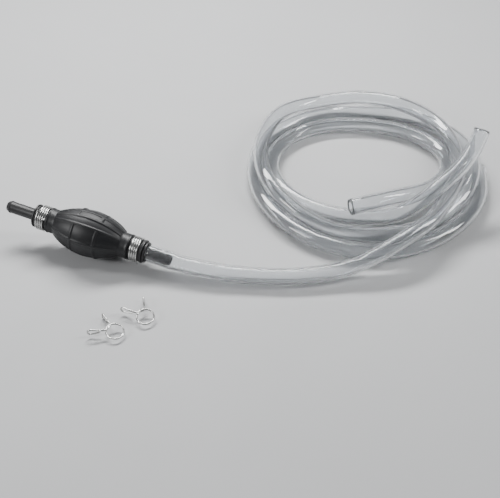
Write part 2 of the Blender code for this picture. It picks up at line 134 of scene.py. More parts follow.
class Shader:
    """A Principled material whose nodes are added by short calls."""

    def __init__(self, name: str) -> None:
        self.material = bpy.data.materials.new(name)
        self.material.use_nodes = True
        self.tree = self.material.node_tree
        self.surface = self.tree.nodes["Principled BSDF"]

    def value(
        self,
        output: str | int,
        kind: str,
        inputs: Mapping[str | int, Value | float | tuple] | None = None,
        **settings: str,
    ) -> Value:
        """One output of a new node.

        Args:
            output: The output's name or number.
            kind: The node's type, without its "ShaderNode" prefix.
            inputs: What each input socket holds or is linked from.
            **settings: Attributes to set on the node.

        Returns:
            The output's value.
        """
        made = self.tree.nodes.new("ShaderNode" + kind)
        for key, value in settings.items():
            setattr(made, key, value)
        for key, value in (inputs or {}).items():
            self.feed(made.inputs[key], value)
        return Value(self, made.outputs[output])

    def feed(self, socket: bpy.types.NodeSocket, value: Value | float | tuple) -> None:
        """Link a value to a socket, or set the socket's own value."""
        if isinstance(value, Value):
            self.tree.links.new(value.socket, socket)
        else:
            socket.default_value = value

    def maths(self, operation: str, first: Value | float, second: Value | float = 0.0) -> Value:
        """The result of one maths operation on two values."""
        return self.value(0, "Math", {0: first, 1: second}, operation=operation)

    def clamp(self, value: Value, low: float = 0.0, high: float = 1.0) -> Value:
        """A value held between two limits."""
        return self.maths("MINIMUM", self.maths("MAXIMUM", value, low), high)

    def span(self, value: Value, low: float, high: float) -> Value:
        """0 where the value is low, 1 where it is high, and smooth between."""
        limits = {"Value": value, "From Min": low, "From Max": high}
        return self.value("Result", "MapRange", limits, interpolation_type="SMOOTHSTEP")

    def place(self) -> Value:
        """The point on the object, in its own coordinates."""
        return self.value("Object", "TexCoord")

    def along_and_around(self) -> Value:
        """The piece's own map: metres along it, and the share of a turn round it."""
        return self.value("UV", "UVMap", uv_map="lay")

    def cut_end(self) -> Value:
        """How near this is to a cut end of its hose: 1 on the cut, 0 a ring away."""
        return self.value("Fac", "Attribute", attribute_name="cut_end")

    def stretched(self, vector: Value, scale: Point) -> Value:
        """A vector scaled on each axis."""
        return self.value("Vector", "Mapping", {"Vector": vector, "Scale": scale})

    def noise(self, vector: Value, scale: float, detail: float = 3.0, roughness: float = 0.5) -> Value:
        """Noise from 0 to 1 at this scale per metre."""
        inputs = {"Vector": vector, "Scale": scale, "Detail": detail, "Roughness": roughness}
        return self.value("Fac", "TexNoise", inputs)

    def specks(self, vector: Value, scale: float) -> Value:
        """The distance to the nearest of scattered points."""
        return self.value("Distance", "TexVoronoi", {"Vector": vector, "Scale": scale})

    def mix(self, share: Value, first: Value | tuple, second: Value | tuple) -> Value:
        """A colour between two others."""
        return self.value("Color", "MixRGB", {"Fac": share, "Color1": first, "Color2": second})

    def bump(self, height: Value, strength: float, distance: float) -> Value:
        """A normal turned by a height."""
        inputs = {"Height": height, "Strength": strength, "Distance": distance}
        return self.value("Normal", "Bump", inputs)

    def finish(self, **inputs: Value | float | tuple) -> bpy.types.Material:
        """Feed the surface's sockets, whose names are given with underscores, and hand over the material."""
        for key, value in inputs.items():
            self.feed(self.surface.inputs[key.replace("_", " ")], value)
        return self.material


# ---------------------------------------------------------------------------
# Finishes


@dataclass(frozen=True)
class RubberFinish:
    """Matt moulded rubber with fine grain, dull patches and a little dust."""

    name: str
    colour: tuple = (0.0065, 0.0068, 0.0078, 1.0)
    dusty: tuple = (0.024, 0.025, 0.028, 1.0)
    roughness: float = 0.44
    grain: float = 0.00005

    def build(self) -> bpy.types.Material:
        """Make the material."""
        s = Shader(self.name)
        place = s.place()
        patches = s.noise(place, 45.0, 5.0, 0.6)
        grain = s.noise(place, 2600.0, 2.0, 0.6)
        pores = s.specks(place, 1500.0)
        dust = s.span(s.noise(place, 420.0, 6.0, 0.75), 0.56, 0.80)
        scuffs = s.span(s.noise(s.stretched(place, (40.0, 600.0, 600.0)), 1.0, 4.0), 0.60, 0.72)
        colour = s.mix(0.35 * patches + 0.45 * dust + 0.20 * scuffs, self.colour, self.dusty)
        roughness = s.clamp(self.roughness - 0.06 + 0.14 * patches + 0.18 * dust + 0.08 * scuffs)
        height = grain + 0.5 * pores + 0.8 * patches
        return s.finish(
            Base_Color=colour,
            Roughness=roughness,
            Normal=s.bump(height, 0.55, self.grain),
            Specular_IOR_Level=0.50,
        )


@dataclass(frozen=True)
class PlasticFinish:
    """Moulded plastic with fine handling scratches and a faint orange peel."""

    name: str
    colour: tuple
    worn: tuple
    roughness: float

    def build(self) -> bpy.types.Material:
        """Make the material."""
        s = Shader(self.name)
        place = s.place()
        peel = s.noise(place, 700.0, 2.0)
        tone = s.noise(place, 90.0, 4.0, 0.6)
        scratch = s.span(s.noise(s.stretched(place, (2500.0, 160.0, 2500.0)), 1.0, 3.0, 0.7), 0.60, 0.70)
        colour = s.mix(0.4 * tone + 0.35 * scratch, self.colour, self.worn)
        roughness = s.clamp(self.roughness - 0.05 + 0.12 * tone + 0.20 * scratch)
        return s.finish(
            Base_Color=colour,
            Roughness=roughness,
            Normal=s.bump(peel - 0.4 * scratch, 0.35, 0.00004),
            Specular_IOR_Level=0.5,
        )


@dataclass(frozen=True)
class VinylFinish:
    """Clear soft vinyl hose with faint die lines along it, light scuffs and a few smears."""

    name: str
    tint: tuple = (0.945, 0.960, 0.975, 1.0)
    cloudy: tuple = (0.88, 0.90, 0.92, 1.0)

    def build(self) -> bpy.types.Material:
        """Make the material."""
        s = Shader(self.name)
        place = s.place()
        lay = s.along_and_around()
        lines = s.noise(s.stretched(lay, (3.0, 26.0, 1.0)), 1.0, 2.0, 0.5)
        waves = s.noise(s.stretched(lay, (18.0, 2.0, 1.0)), 1.0, 1.0, 0.5)
        smears = s.span(s.noise(place, 60.0, 5.0, 0.7), 0.52, 0.78)
        scuffs = s.span(s.noise(s.stretched(lay, (900.0, 24.0, 1.0)), 1.0, 4.0, 0.7), 0.66, 0.76)
        cut = s.cut_end()
        frosted = cut * cut * cut
        colour = s.mix(s.clamp(0.5 * smears + 0.5 * scuffs + frosted), self.tint, self.cloudy)
        roughness = s.clamp(0.025 + 0.07 * smears + 0.16 * scuffs + 0.55 * frosted)
        height = 0.6 * lines + waves + 0.2 * scuffs
        return s.finish(
            Base_Color=colour,
            Roughness=roughness,
            Normal=s.bump(height, 0.02, 0.00010),
            IOR=1.50,
            Transmission_Weight=0.965,
        )


@dataclass(frozen=True)
class WireFinish:
    """Plated or plain steel wire with drawing lines along it and dull spots."""

    name: str
    bright: tuple
    dull: tuple
    roughness: float

    def build(self) -> bpy.types.Material:
        """Make the material."""
        s = Shader(self.name)
        place = s.place()
        spots = s.noise(place, 900.0, 5.0, 0.65)
        pits = s.span(s.specks(place, 1700.0), 0.0, 0.35)
        lines = s.noise(s.stretched(place, (5200.0, 700.0, 700.0)), 1.0, 2.0)
        colour = s.mix(s.clamp(0.8 * spots - 0.15), self.bright, self.dull)
        roughness = s.clamp(self.roughness - 0.06 + 0.16 * spots + 0.05 * lines)
        return s.finish(
            Base_Color=colour,
            Metallic=s.clamp(1.10 - 0.2 * spots, 0.0, 1.0),
            Roughness=roughness,
            Normal=s.bump(lines + 0.4 * pits, 0.08, 0.00001),
        )


@dataclass(frozen=True)
class FloorFinish:
    """Pale matt board with a faint mottle."""

    name: str = "floor_paint"
    colour: tuple = (0.50, 0.505, 0.51, 1.0)
    shade: tuple = (0.46, 0.465, 0.47, 1.0)

    def build(self) -> bpy.types.Material:
        """Make the material."""
        s = Shader(self.name)
        place = s.place()
        tone = s.noise(place, 9.0, 5.0, 0.55)
        tooth = s.noise(place, 900.0, 3.0)
        return s.finish(
            Base_Color=s.mix(tone, self.colour, self.shade),
            Roughness=s.clamp(0.52 + 0.12 * tone),
            Normal=s.bump(tooth, 0.15, 0.0001),
        )


@dataclass
class Palette:
    """One material for each slot of the record, made when it is first asked for."""

    made: dict[Slot, bpy.types.Material] = field(default_factory=dict)

    FINISHES = {
        Slot.RUBBER: RubberFinish("rubber_skin"),
        Slot.VALVE_RUBBER: RubberFinish(
            "washer_rubber", (0.030, 0.030, 0.031, 1.0), (0.075, 0.075, 0.075, 1.0), 0.52
        ),
        Slot.BLACK_PLASTIC: PlasticFinish(
            "black_moulding", (0.011, 0.011, 0.012, 1.0), (0.050, 0.050, 0.052, 1.0), 0.42
        ),
        Slot.VALVE_PLASTIC: PlasticFinish(
            "white_moulding", (0.80, 0.79, 0.75, 1.0), (0.66, 0.64, 0.58, 1.0), 0.36
        ),
        Slot.ZINC: WireFinish("plated_wire", (0.66, 0.66, 0.65, 1.0), (0.38, 0.375, 0.36, 1.0), 0.20),
        Slot.SPRING: WireFinish("spring_wire", (0.66, 0.67, 0.69, 1.0), (0.42, 0.42, 0.43, 1.0), 0.26),
        Slot.VINYL: VinylFinish("clear_vinyl"),
    }

    def __getitem__(self, slot: Slot) -> bpy.types.Material:
        if slot not in self.made:
            self.made[slot] = self.FINISHES[slot].build()
        return self.made[slot]


# ---------------------------------------------------------------------------
# Mesh helpers


def new_object(name: str, data: bpy.types.ID) -> bpy.types.Object:
    """A new object in the scene that shows this data."""
    obj = bpy.data.objects.new(name, data)
    bpy.context.scene.collection.objects.link(obj)
    return obj


@dataclass
class Workshop:
    """Makes pieces and hands them to the frame: the material for their slot, their body, and the CAD nodes
    they stand for, which it hides.
    """

    palette: Palette = field(default_factory=Palette)

    def grid(
        self,
        name: str,
        points: np.ndarray,
        along: np.ndarray | None = None,
        wrap_rows: bool = True,
    ) -> bpy.types.Object:
        """A mesh over rows of points, each row a closed ring.

        Args:
            name: The object's name.
            points: Positions, rows by columns by three.
            along: Metres along the piece for each row, for its map. Row numbers if left out.
            wrap_rows: Whether the last row joins the first.

        Returns:
            The mesh object, smooth shaded.
        """
        rows, columns, _ = points.shape
        last = rows if wrap_rows else rows - 1
        i, j = np.meshgrid(np.arange(last), np.arange(columns), indexing="ij")
        ni, nj = (i + 1) % rows, (j + 1) % columns
        near, far = i * columns, ni * columns
        quads = np.stack([near + j, far + j, far + nj, near + nj], -1).reshape(-1, 4)
        mesh = bpy.data.meshes.new(name)
        mesh.from_pydata(points.reshape(-1, 3).tolist(), [], quads.tolist())
        where = np.arange(rows, dtype=float) if along is None else np.asarray(along, float)
        shares = np.stack([j, j, j + 1, j + 1], -1).reshape(-1) / columns
        lengths = np.stack([where[i], where[ni], where[ni], where[i]], -1).reshape(-1)
        layer = mesh.uv_layers.new(name="lay")
        layer.data.foreach_set("uv", np.stack([lengths, shares], -1).reshape(-1))
        mesh.validate()
        self._face_outwards(mesh)
        return new_object(name, mesh)

    @staticmethod
    def _face_outwards(mesh: bpy.types.Mesh) -> None:
        """Turn every face outwards if the enclosed volume comes out negative, and shade smooth."""
        mesh.calc_loop_triangles()
        count = len(mesh.loop_triangles)
        corners = np.empty(count * 3, np.int32)
        mesh.loop_triangles.foreach_get("vertices", corners)
        places = np.empty(len(mesh.vertices) * 3)
        mesh.vertices.foreach_get("co", places)
        a, b, c = places.reshape(-1, 3)[corners.reshape(-1, 3)].transpose(1, 0, 2)
        if np.einsum("ij,ij->i", a, np.cross(b, c)).sum() < 0.0:
            mesh.flip_normals()
        mesh.shade_smooth()

    def lathe(self, name: str, outline: Outline, steps: int = 72) -> bpy.types.Object:
        """A turned piece round the X axis from a closed outline of (x, radius) points."""
        ring = np.array(outline, float)
        turn = np.linspace(0.0, math.tau, steps, endpoint=False)
        points = np.empty((len(ring), steps, 3))
        points[:, :, 0] = ring[:, None, 0]
        points[:, :, 1] = -ring[:, None, 1] * np.cos(turn)
        points[:, :, 2] = ring[:, None, 1] * np.sin(turn)
        return self.grid(name, points)

    def hand_over(
        self,
        obj: bpy.types.Object,
        slot: Slot,
        *nodes: str,
        body: Body = Body.SIPHON,
        place: Matrix | None = None,
    ) -> bpy.types.Object:
        """Give a finished piece the material for its slot and its body, and hide the CAD nodes it stands for.

        Args:
            obj: The piece.
            slot: The record's material slot.
            *nodes: The CAD nodes that it stands for.
            body: The body that it rides on.
            place: Where its mesh goes in the row frame.

        Returns:
            The piece.
        """
        if place is not None:
            obj.data.transform(place)
        obj.data.materials.clear()
        obj.data.materials.append(self.palette[slot])
        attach(obj, body.value)
        if nodes:
            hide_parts(*nodes)
        return obj

    def dress(self, frame: dict, node: str, slot: Slot) -> None:
        """Give a CAD node that is shown as it is a material with real detail."""
        obj = frame["nodes"][node]
        for place in obj.material_slots:
            place.material = self.palette[slot]


def rounded(outline: Outline, radius: float = 0.00035, steps: int = 4) -> Outline:
    """A closed outline with each corner turned into a small arc.

    Args:
        outline: Corners as (x, radius) points.
        radius: How far the rounding reaches from each corner.
        steps: Segments in each rounded corner.

    Returns:
        The points of the rounded outline.
    """
    corners = [Vector(p) for p in outline]
    points = []
    for i, here in enumerate(corners):
        before = corners[i - 1] - here
        after = corners[(i + 1) % len(corners)] - here
        reach = min(radius, 0.42 * before.length, 0.42 * after.length)
        start = here + before.normalized() * reach
        end = here + after.normalized() * reach
        for k in range(steps + 1):
            t = k / steps
            points.append(tuple((1 - t) ** 2 * start + 2 * t * (1 - t) * here + t * t * end))
    return points


@dataclass
class Route:
    """A smooth line through given points, as close even points."""

    points: Sequence[Point]
    step: float = 0.002
    softness: float = 0.006

    def line(self) -> np.ndarray:
        """The even points of the line."""
        dense = self._even(self._through(np.array(self.points, float)), self.step)
        return self._even(self._softened(dense), self.step)

    @staticmethod
    def _through(route: np.ndarray, per_span: int = 16) -> np.ndarray:
        """A curve through every point of the route."""
        padded = np.vstack([2 * route[0] - route[1], route, 2 * route[-1] - route[-2]])
        t = np.arange(per_span)[:, None] / per_span
        spans = []
        for before, here, there, after in zip(padded, padded[1:], padded[2:], padded[3:]):
            spans.append(
                here
                + 0.5 * t * (there - before)
                + 0.5 * t**2 * (2 * before - 5 * here + 4 * there - after)
                + 0.5 * t**3 * (3 * here - before - 3 * there + after)
            )
        return np.vstack([*spans, route[-1:]])

    @staticmethod
    def _even(line: np.ndarray, step: float) -> np.ndarray:
        """The same line with points one step apart."""
        lengths = np.r_[0.0, np.linalg.norm(np.diff(line, axis=0), axis=1).cumsum()]
        where = np.linspace(0.0, lengths[-1], max(2, round(lengths[-1] / step)) + 1)
        return np.stack([np.interp(where, lengths, line[:, k]) for k in range(3)], 1)

    def _softened(self, line: np.ndarray) -> np.ndarray:
        """The line with its sudden changes of bend smoothed out, and its ends and their directions kept."""
        reach = max(1, round(3 * self.softness / self.step))
        weights = np.exp(-0.5 * (np.arange(-reach, reach + 1) * self.step / self.softness) ** 2)
        weights /= weights.sum()
        ahead = np.arange(1, reach + 1)[:, None]
        head = line[0] - ahead[::-1] * (line[1] - line[0])
        tail = line[-1] + ahead * (line[-1] - line[-2])
        long = np.vstack([head, line, tail])
        return np.stack([np.convolve(long[:, k], weights, "valid") for k in range(3)], 1)

    @staticmethod
    def length(line: np.ndarray) -> float:
        """The length of a line."""
        return float(np.linalg.norm(np.diff(line, axis=0), axis=1).sum())


@dataclass(frozen=True)
class Crease:
    """A place where a hose is pinched a little.

    Attributes:
        at: Metres along the hose.
        depth: The share of its height that the pinch takes.
        turn: Where round the hose it is flattened, in degrees from its side.
        reach: Metres that it reaches each way.
    """

    at: float
    depth: float
    turn: float
    reach: float = 0.006


@dataclass
class HoseTube:
    """A hollow hose along a line, with both walls, square-cut ends and creases.

    Attributes:
        line: Even points of its middle.
        radius: Outside radius.
        bore: Inside radius.
        creases: Where it is pinched.
        sides: Points round each ring.
        barb_length: Metres at its start that are stretched over a barb.
        stretched_bore: Inside radius over the barb.
    """

    line: np.ndarray
    radius: float = 0.0065
    bore: float = 0.0045
    creases: Sequence[Crease] = ()
    sides: int = 56
    barb_length: float = 0.0
    stretched_bore: float = 0.00505

    def frames(self) -> tuple[np.ndarray, np.ndarray]:
        """The level and the upward direction across the hose at each ring."""
        tangent = np.gradient(self.line, axis=0)
        tangent /= np.linalg.norm(tangent, axis=1, keepdims=True)
        level = np.cross(np.array([0.0, 0.0, 1.0]), tangent)
        level /= np.linalg.norm(level, axis=1, keepdims=True)
        return level, np.cross(tangent, level)

    def build(self, shop: Workshop, name: str) -> bpy.types.Object:
        """Make the mesh: out along the outer wall and back along the bore."""
        level, upward = self.frames()
        along = np.r_[0.0, np.linalg.norm(np.diff(self.line, axis=0), axis=1).cumsum()]
        turn = np.linspace(0.0, math.tau, self.sides, endpoint=False)
        across = np.broadcast_to(np.cos(turn), (len(self.line), self.sides)).copy()
        height = np.broadcast_to(np.sin(turn), (len(self.line), self.sides)).copy()
        for crease in self.creases:
            share = np.exp(-(((along - crease.at) / crease.reach) ** 2))[:, None]
            away = np.radians(crease.turn)
            reach = across * math.cos(away) + height * math.sin(away)
            pinch = -crease.depth * share * reach * np.abs(reach)
            bulge = 0.45 * crease.depth * share
            side = -across * math.sin(away) + height * math.cos(away)
            across = across + pinch * math.cos(away) - bulge * side * math.sin(away)
            height = height + pinch * math.sin(away) + bulge * side * math.cos(away)
        lip, run_out = 0.0003, 0.004
        walls = []
        stretch = np.clip((self.barb_length + run_out - along) / run_out, 0.0, 1.0) * (self.barb_length > 0.0)
        stretch = stretch * stretch * (3.0 - 2.0 * stretch) * (self.stretched_bore - self.bore)
        for radius, ends, share in ((self.radius, -1.0, 0.55), (self.bore, 1.0, 1.0)):
            size = radius + share * stretch
            size[[0, -1]] += ends * lip
            offset = across[..., None] * level[:, None] + height[..., None] * upward[:, None]
            walls.append(self.line[:, None] + size[:, None, None] * offset)
        rings = np.vstack([walls[0], walls[1][::-1]])
        hose = shop.grid(name, rings, np.r_[along, along[::-1]])
        last = len(self.line) - 1
        cut = np.zeros((len(rings), self.sides), np.float32)
        cut[[0, last, last + 1, -1]] = 1.0
        hose.data.attributes.new("cut_end", "FLOAT", "POINT").data.foreach_set("value", cut.reshape(-1))
        return hose


class WireNodes:
    """Geometry Nodes that sweep a round wire along a curve, with a fixed seed for its slight unevenness."""

    NAME = "wire_along_curve"
    UNEVENNESS = 0.0015
    INPUTS = (
        ("Geometry", "Geometry"),
        ("Wire Radius", "Float"),
        ("Sides", "Int"),
        ("Unevenness", "Float"),
        ("Seed", "Int"),
        ("Material", "Material"),
    )

    def __init__(self) -> None:
        self.group = bpy.data.node_groups.new(self.NAME, "GeometryNodeTree")
        face = self.group.interface
        for name, kind in self.INPUTS:
            face.new_socket(name, in_out="INPUT", socket_type="NodeSocket" + kind)
        face.new_socket("Geometry", in_out="OUTPUT", socket_type="NodeSocketGeometry")
        self._lay_out()

    def _node(
        self, kind: str, settings: Mapping | None = None, inputs: Mapping | None = None
    ) -> bpy.types.Node:
        """Add a node, set its attributes, and set or link its inputs."""
        made = self.group.nodes.new(kind)
        for key, value in (settings or {}).items():
            setattr(made, key, value)
        for key, value in (inputs or {}).items():
            if isinstance(value, bpy.types.NodeSocket):
                self.group.links.new(value, made.inputs[key])
            else:
                made.inputs[key].default_value = value
        return made

    def _lay_out(self) -> None:
        """Build the tree."""
        given = self._node("NodeGroupInput").outputs
        uneven = self._node(
            "FunctionNodeRandomValue",
            {"data_type": "FLOAT"},
            {2: -1.0, 3: 1.0, "Seed": given["Seed"]},
        )
        amount = self._node(
            "ShaderNodeMath",
            {"operation": "MULTIPLY_ADD"},
            {0: uneven.outputs[1], 1: given["Unevenness"], 2: 1.0},
        )
        radius = self._node(
            "GeometryNodeSetCurveRadius",
            None,
            {"Curve": given["Geometry"], "Radius": amount.outputs[0]},
        )
        ring = self._node(
            "GeometryNodeCurvePrimitiveCircle",
            None,
            {"Resolution": given["Sides"], "Radius": given["Wire Radius"]},
        )
        swept = self._node(
            "GeometryNodeCurveToMesh",
            None,
            {"Curve": radius.outputs["Curve"], "Profile Curve": ring.outputs["Curve"], "Fill Caps": True},
        )
        if "Scale" in swept.inputs:
            self.group.links.new(amount.outputs[0], swept.inputs["Scale"])
        smooth = self._node("GeometryNodeSetShadeSmooth", None, {"Geometry": swept.outputs["Mesh"]})
        real = self._node("GeometryNodeRealizeInstances", None, {"Geometry": smooth.outputs["Geometry"]})
        dressed = self._node(
            "GeometryNodeSetMaterial",
            None,
            {"Geometry": real.outputs["Geometry"], "Material": given["Material"]},
        )
        self._node("NodeGroupOutput", None, {"Geometry": dressed.outputs["Geometry"]})

    def sweep(
        self,
        name: str,
        points: np.ndarray,
        radius: float,
        material: bpy.types.Material,
        sides: int = 16,
        seed: int = 1,
    ) -> bpy.types.Object:
        """A wire along a line, as a plain mesh.

        Args:
            name: The object's name.
            points: The wire's middle line.
            radius: The wire's radius.
            material: Its material.
            sides: Points round the wire.
            seed: Picks the slight unevenness.

        Returns:
            The mesh object.
        """
        curve = bpy.data.curves.new(name + "_line", "CURVE")
        curve.dimensions = "3D"
        spline = curve.splines.new("POLY")
        spline.points.add(len(points) - 1)
        spline.points.foreach_set("co", np.c_[points, np.ones(len(points))].reshape(-1))
        source = new_object(name + "_line", curve)
        modifier = source.modifiers.new("wire", "NODES")
        modifier.node_group = self.group
        values = {
            "Wire Radius": radius,
            "Sides": sides,
            "Unevenness": self.UNEVENNESS,
            "Seed": seed,
            "Material": material,
        }
        for item in self.group.interface.items_tree:
            if item.in_out == "INPUT" and item.name in values:
                modifier[item.identifier] = values[item.name]
        bpy.context.view_layer.update()
        graph = bpy.context.evaluated_depsgraph_get()
        mesh = bpy.data.meshes.new_from_object(source.evaluated_get(graph))
        bpy.data.objects.remove(source)
        mesh.name = name
        return new_object(name, mesh)


# ---------------------------------------------------------------------------
# Sub-assemblies


@dataclass(frozen=True)
class BulbPlace:
    """Where the bulb lies on the table."""

    middle: Point = (-0.0005, 0.0337, 0.01862)
    yaw: float = -19.4
    tilt: float = 6.4

    @property
    def matrix(self) -> Matrix:
        """From the bulb's own axis to the row frame."""
        turn = Matrix.Rotation(math.radians(self.yaw), 4, "Z")
        lean = Matrix.Rotation(math.radians(self.tilt), 4, "Y")
        return Matrix.Translation(self.middle) @ turn @ lean

    @property
    def axis(self) -> Vector:
        """The direction from inlet to outlet."""
        return self.matrix.to_3x3() @ Vector((1.0, 0.0, 0.0))

    def at(self, x: float) -> Point:
        """A station on the axis, in the row frame."""
        return tuple(self.matrix @ Vector((x, 0.0, 0.0)))


@dataclass
class SqueezeBulb:
    """The hollow rubber bulb with its raised ribs."""

    place: BulbPlace
    radius: float = 0.0177
    belly_middle: float = 0.0017
    half_length: float = 0.0325
    fullness: float = 1.8
    neck: float = 0.0099
    neck_bore: float = 0.0063
    groove: float = 0.0085
    inlet: tuple[float, float] = (-0.0409, -0.0323)
    outlet: tuple[float, float] = (0.0362, 0.0447)
    wall: float = 0.0022
    hollow: tuple[float, float] = (0.0295, -0.0255)
    rib_height: float = 0.00068
    rib_half_width: float = 0.00115
    rib_reach: float = 0.0270
    rib_run_out: float = 0.0008
    ring_ribs: tuple[float, float] = (-0.0072, 0.0120)
    first_rib: float = 61.5
    rib_steps: tuple[float, ...] = (24.0, 21.0, 45.0, 45.0, 45.0)
    columns: int = 288

    def belly(self, x: np.ndarray) -> np.ndarray:
        """Radius of the belly alone."""
        share = (x - self.belly_middle) / self.half_length
        return self.radius * np.sqrt(np.clip(1.0 - np.abs(share) ** self.fullness, 0.0, 1.0))

    def skin_radius(self, x: np.ndarray) -> np.ndarray:
        """Outer radius without ribs: the belly runs softly into the necks, each with its groove."""
        soft = 24.0
        neck = 0.97 * self.neck
        blended = (self.belly(x) ** soft + neck**soft) ** (1.0 / soft)
        rim_height, rim_middle, rim_width = 0.0003, 0.0011, 0.0009
        rim = rim_height * np.exp(-(((x - self.inlet[1] - rim_middle) / rim_width) ** 2))
        rim += rim_height * np.exp(-(((x - self.outlet[0] + rim_middle) / rim_width) ** 2))
        depth = np.clip((self.inlet[1] + 0.0005 - x) / 0.0006, 0.0, 1.0)
        depth = np.maximum(depth, np.clip((x - self.outlet[0] + 0.0005) / 0.0006, 0.0, 1.0))
        return blended + rim * (1.0 - depth) + (self.groove - neck) * depth * depth * (3 - 2 * depth)

    def rib_degrees(self) -> list[float]:
        """Angles of the lengthwise ribs."""
        angles = [self.first_rib]
        for width in (self.rib_steps * 2)[:-1]:
            angles.append(angles[-1] + width)
        return angles

    def relief(self, x: np.ndarray, turn: np.ndarray) -> np.ndarray:
        """How far the ribs stand out at each station and angle."""
        radius = self.skin_radius(x)[:, None]
        degrees = np.degrees(turn)[None, :]
        lengthwise = np.zeros((len(x), len(turn)))
        for rib in self.rib_degrees():
            apart = (degrees - rib + 180.0) % 360.0 - 180.0
            lengthwise = np.maximum(lengthwise, self._ridge(np.radians(apart) * radius))
        from_end = self.rib_reach - np.abs(x - self.belly_middle)
        ends = np.clip(from_end / self.rib_run_out, 0.0, 1.0)[:, None]
        across = np.zeros_like(lengthwise)
        for ring in self.ring_ribs:
            across = np.maximum(across, self._ridge(x - ring)[:, None] * np.ones_like(degrees))
        for start in (self.first_rib, self.first_rib + 180.0):
            inside = (degrees - start) % 360.0
            across = np.where(inside < self.rib_steps[0], 0.0, across)
        return self.rib_height * np.maximum(lengthwise * ends, across)

    def _ridge(self, apart: np.ndarray) -> np.ndarray:
        """A rounded rib's height, from 1 on its line to 0 at its foot."""
        share = np.clip(2.2 * (1.0 - np.abs(apart) / self.rib_half_width), 0.0, 1.0)
        return share * share * (3.0 - 2.0 * share)

    def build(self, shop: Workshop) -> None:
        """Make the bulb."""
        left, left_groove = self.inlet
        right_groove, right = self.outlet
        outer = np.r_[
            left,
            left + 0.0003,
            np.linspace(left + 0.001, left_groove - 0.0008, 6),
            np.linspace(left_groove - 0.0004, left_groove + 0.0008, 11),
            np.linspace(left_groove + 0.0011, right_groove - 0.0011, 200),
            np.linspace(right_groove - 0.0008, right_groove + 0.0004, 11),
            np.linspace(right_groove + 0.0008, right - 0.001, 6),
            right - 0.0003,
            right,
        ]
        inner = np.r_[right, np.linspace(*self.hollow, 31), left]
        turn = np.linspace(0.0, math.tau, self.columns, endpoint=False)
        radius = self.skin_radius(outer)[:, None] + self.relief(outer, turn)
        radius[[0, -1]] -= 0.0003
        every = np.ones_like(turn)[None, :]
        hollow = np.maximum(self.neck_bore, self.belly(inner) - self.wall)[:, None] * every
        x = np.r_[outer, inner][:, None] * every
        r = np.vstack([radius, hollow])
        points = np.stack([x, -r * np.cos(turn), r * np.sin(turn)], -1)
        bulb = shop.grid("rubber_bulb", points, np.r_[outer, inner])
        shop.hand_over(bulb, Slot.RUBBER, "squeeze_bulb", place=self.place.matrix)


